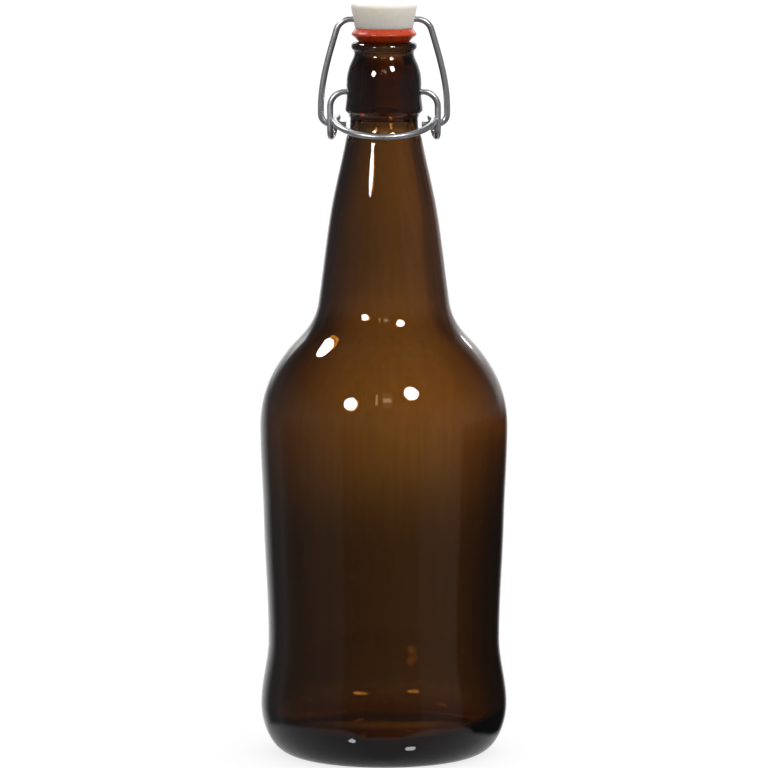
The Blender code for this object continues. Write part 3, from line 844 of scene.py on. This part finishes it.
def hang_lamp(name, lamp, centre):
    """A lamp that glass and metal mirror. Matt surfaces are lit by the room alone."""
    light = bpy.data.lights.new(name, "AREA")
    light.shape = lamp.shape
    light.size = 2 * LAMP_DISTANCE * tan(radians(lamp.width / 2))
    light.size_y = 2 * LAMP_DISTANCE * tan(radians(lamp.height / 2))
    light.color = linear(lamp.colour)[:3]
    fill = pi / 4 if lamp.shape == "ELLIPSE" else 1.0
    light.energy = lamp.radiance * pi * fill * light.size * light.size_y
    holder = brought_in(name, light)
    way = bearing(lamp.azimuth, lamp.elevation)
    holder.location = centre + way * LAMP_DISTANCE
    holder.rotation_euler = way.to_track_quat("Z", "Y").to_euler()
    hide(holder, "camera", "diffuse")
    return holder


def around(tree, given):
    """The measures of a place, or of a direction, round the bottle."""
    place = add(tree, "ShaderNodeTexCoord").outputs[given]
    parts = add(tree, "ShaderNodeSeparateXYZ", {0: place}).outputs
    turn = add(tree, "ShaderNodeMath", {0: parts["X"], 1: parts["Y"]}, operation="ARCTAN2")
    right = add(tree, "ShaderNodeMath", {0: turn.outputs[0]}, operation="DEGREES").outputs[0]
    aside = add(tree, "ShaderNodeMath", {0: right}, operation="ABSOLUTE").outputs[0]
    return {"across": parts["X"], "height": parts["Z"], "right": right, "aside": aside}


def faded(tree, places, fades):
    """How far each fade has come at a place, by its name."""
    shares = {}
    for name, fade in fades.items():
        shares[name] = add(tree, "ShaderNodeMapRange",
                           {"Value": places[fade.along], "From Min": fade.start,
                            "From Max": fade.end, "To Min": fade.first, "To Max": fade.last},
                           interpolation_type=fade.run).outputs["Result"]
    return shares


def brightness_along(tree, value, stops, run="LINEAR"):
    """A brightness that runs through its stops, (place, brightness)."""
    low, high = stops[0][0], stops[-1][0]
    share = add(tree, "ShaderNodeMapRange",
                {"Value": value, "From Min": low, "From Max": high}).outputs["Result"]
    ramp = add(tree, "ShaderNodeValToRGB", {0: share})
    ramp.color_ramp.interpolation = run
    marks = ramp.color_ramp.elements
    for at, _ in stops[1:-1]:
        marks.new((at - low) / (high - low))
    for mark, (_, glow) in zip(marks, stops):
        mark.color = (glow, glow, glow, 1.0)
    return ramp.outputs[0]


def light_room():
    """White for the eye. Matt surfaces are lit from all round, more from above and from
    the right. Glass and metal get a dim room with a bright backdrop behind the bottle."""
    world = bpy.data.worlds.new("studio")
    bpy.context.scene.world = world
    world.use_nodes = True
    tree = world.node_tree
    tree.nodes.clear()
    places = around(tree, "Generated")
    elevation = add(tree, "ShaderNodeMath", {0: places["height"]}, operation="ARCSINE")
    places["up"] = add(tree, "ShaderNodeMath", {0: elevation.outputs[0]},
                       operation="DEGREES").outputs[0]
    shares = faded(tree, places, ROOM_FADES)

    # The room, dimmer aloft, its backdrop brightest above eye level, and the floor close by
    room = brightness_along(tree, places["right"], ROOM)
    room = add(tree, "ShaderNodeMath", {0: room, 1: shares["aloft"]},
               operation="MULTIPLY").outputs[0]
    behind = add(tree, "ShaderNodeMath", {0: shares["left edge"], 1: shares["right edge"]},
                 operation="MULTIPLY").outputs[0]
    room = add(tree, "ShaderNodeMath", {0: behind, 1: shares["over the backdrop"], 2: room},
               operation="MULTIPLY_ADD").outputs[0]
    room = add(tree, "ShaderNodeMix",
               {0: shares["floor"], 2: room, 3: shares["floor glow"]}).outputs[0]

    soft = 1.0
    for share in faded(tree, places, SOFT_LIGHT).values():
        soft = add(tree, "ShaderNodeMath", {0: soft, 1: share}, operation="MULTIPLY").outputs[0]

    # What each kind of ray meets
    ray = add(tree, "ShaderNodeLightPath").outputs
    met = soft
    for kind, brightness in (("Is Camera Ray", 1.0), ("Is Glossy Ray", room),
                             ("Is Transmission Ray", GLOW_ALL_ROUND)):
        met = add(tree, "ShaderNodeMix", {0: ray[kind], 2: met, 3: brightness}).outputs[0]
    light = add(tree, "ShaderNodeBackground", {"Color": linear("#FFFFFF"), "Strength": met})
    add(tree, "ShaderNodeOutputWorld", {"Surface": light.outputs["Background"]})


def curved_sheet(name, material, glow, sizes):
    """A glowing sheet bent round the bottle, centred behind it: its distance, how many
    degrees it reaches to either side, and its foot and top."""
    material.cycles.emission_sampling = "NONE"
    light = add(material.node_tree, "ShaderNodeEmission", {"Strength": glow})
    add(material.node_tree, "ShaderNodeOutputMaterial", {"Surface": light.outputs["Emission"]})
    distance, reach, foot, top = sizes
    turns = [radians(reach) * (2 * step / SHEET_FLATS - 1) for step in range(SHEET_FLATS + 1)]
    corners = [(distance * sin(turn), distance * cos(turn), height)
               for height in (foot, top) for turn in turns]
    above = len(turns)
    faces = [(step, step + 1, above + step + 1, above + step) for step in range(SHEET_FLATS)]
    mesh = bpy.data.meshes.new(name)
    mesh.from_pydata(corners, [], faces)
    mesh.materials.append(material)
    sheet = brought_in(name, mesh)
    hide(sheet, "camera", "diffuse", "shadow")
    return sheet


def stand_low_wall():
    """A low wall all round, seen in the glass as a mirror alone. Its panels give the body
    its upright bands, it leaves the neck and the lamps clear, and the floor shows at its
    foot: further down on the right and in front, where the heel stays dark for longer."""
    material, tree = blank("panelled wall")
    places = around(tree, "Object")
    shares = faded(tree, places, WALL_FADES)
    panels, edge = (brightness_along(tree, places["right"], stops)
                    for stops in (WALL_PANELS, WALL_EDGE))
    glow = add(tree, "ShaderNodeMix", {0: shares["upper edge"], 2: panels, 3: edge}).outputs[0]
    raised = add(tree, "ShaderNodeMath",
                 {0: shares["rise on the right"], 1: shares["not far right"],
                  2: places["height"]}, operation="MULTIPLY_ADD").outputs[0]
    raised = add(tree, "ShaderNodeMath", {0: raised, 1: shares["rise in front"]},
                 operation="ADD").outputs[0]
    under = faded(tree, {"height": raised}, FLOOR_FADE)["floor"]
    glow = add(tree, "ShaderNodeMix", {0: under, 2: glow, 3: shares["floor glow"]}).outputs[0]
    wall = curved_sheet("low_wall", material, glow,
                        (WALL_DISTANCE, WALL_REACH, WALL_FOOT, WALL_TOP))
    hide(wall, "transmission")


def hang_backdrop():
    """A round backdrop close behind, seen through the glass alone: bright at mid height
    and right of the middle, and falling off to the floor and to the left."""
    material, tree = blank("glowing backdrop")
    places = around(tree, "Object")
    shares = faded(tree, places, BACKDROP_FADES)
    by_height = brightness_along(tree, places["height"], GLOW_BY_HEIGHT, "B_SPLINE")
    by_turn = brightness_along(tree, places["right"], GLOW_BY_TURN, "B_SPLINE")

    # At the height of the neck it is darker to the left, and right of an edge that leans out
    upright = add(tree, "ShaderNodeMath", {0: places["right"], 1: shares["lean at neck"]},
                  operation="SUBTRACT").outputs[0]
    beside_neck = brightness_along(tree, upright, GLOW_BESIDE_NECK)
    by_neck = add(tree, "ShaderNodeMix",
                  {0: shares["at neck"], 2: 1.0, 3: beside_neck}).outputs[0]

    # Low on the right it is darker, from a straight edge on, and lowest it darkens to the left
    shade = add(tree, "ShaderNodeMath",
                {0: shares["straight edge"], 1: shares["further right"]},
                operation="ADD").outputs[0]
    lost = add(tree, "ShaderNodeMath", {0: shares["lowest"], 1: shares["to the left"]},
               operation="MULTIPLY").outputs[0]
    lost = add(tree, "ShaderNodeMath", {0: shade, 1: shares["low"], 2: lost},
               operation="MULTIPLY_ADD").outputs[0]
    kept = add(tree, "ShaderNodeMath", {0: 1.0, 1: lost}, operation="SUBTRACT").outputs[0]

    behind = GLOW_PEAK
    for share in (by_height, by_turn, by_neck, kept):
        behind = add(tree, "ShaderNodeMath", {0: behind, 1: share},
                     operation="MULTIPLY").outputs[0]
    glow = add(tree, "ShaderNodeMix",
               {0: shares["to the sides"], 2: behind, 3: GLOW_ALL_ROUND}).outputs[0]
    backdrop = curved_sheet("backdrop", material, glow,
                            (BACKDROP_DISTANCE, BACKDROP_REACH, BACKDROP_FOOT, BACKDROP_TOP))
    hide(backdrop, "glossy")


def lay_floor():
    """Pale, and glowing a little, so that the shadows on it stay faint."""
    mesh = bpy.data.meshes.new("floor")
    corners = [(across * FLOOR_REACH, back * FLOOR_REACH, 0.0)
               for across, back in ((-1, -1), (1, -1), (1, 1), (-1, 1))]
    mesh.from_pydata(corners, [], [(0, 1, 2, 3)])
    floor = brought_in("floor", mesh)
    material, tree = blank("pale matt floor")
    surface = add(tree, "ShaderNodeBsdfPrincipled",
                  {"Base Color": linear("#787878"), "Roughness": 0.9,
                   "Specular IOR Level": 0.1, "Emission Color": linear("#FFFFFF"),
                   "Emission Strength": 0.80})
    add(tree, "ShaderNodeOutputMaterial", {"Surface": surface.outputs["BSDF"]})
    mesh.materials.append(material)
    hide(floor, "transmission", "glossy", "diffuse")


def place_camera():
    """The photograph's view, with all of it sharp."""
    camera = bpy.data.cameras.new("photo_view")
    camera.lens = CAMERA_LENS_MM
    camera.sensor_width = 36.0
    camera.clip_start = 0.1
    camera.clip_end = 50.0
    holder = brought_in("photo_view", camera)
    holder.location = CAMERA_PLACE
    holder.rotation_euler = (CAMERA_AIM - CAMERA_PLACE).to_track_quat("-Z", "Y").to_euler()
    bpy.context.scene.camera = holder


def main():
    """The five pieces, each in place of its plain solid, and the studio round them."""
    place_camera()
    wiring = wire_tree()
    wire_sizes = {"Wire radius": WIRE_RADIUS, "End round": WIRE_END_ROUND,
                  "Sides": WIRE_SIDES, "Material": zinc_wire()}

    shell = glass_shell(blown_tree())
    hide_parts("bottle_glass")
    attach(shell, "bottle")

    cap = turned("cream_stopper", stopper_outline(), drilled_tree(),
                 {"Flats": MOULDED_FLATS, "Hole height": SWIVEL.z,
                  "Hole radius": BAIL_HOLE_RADIUS,
                  "Hole length": 4 * CAP_TOP_RADIUS, "Material": cream_plastic()})
    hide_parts("stopper")
    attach(cap, "stopper")

    seal = turned("rubber_gasket", gasket_outline(), turning_tree(),
                  {"Flats": MOULDED_FLATS, "Material": red_rubber()})
    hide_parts("gasket")
    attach(seal, "stopper")

    lever = shaped("wire_lever", mirrored(lever_route()), wiring, wire_sizes)
    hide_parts("lever")
    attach(lever, "lever")

    bail = shaped("wire_bail", mirrored(bail_route()), wiring, wire_sizes)
    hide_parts("bail")
    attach(bail, "bail")

    lay_floor()
    light_room()
    stand_low_wall()
    hang_backdrop()
    for name, lamp in LAMPS.items():
        hang_lamp(name, lamp, LAMP_CENTRE)
    for name, lamp in TABLE_GLINTS.items():
        hide(hang_lamp(name, lamp, GLINT_CENTRE), "transmission")
    bpy.context.scene.view_settings.view_transform = "Standard"


main()
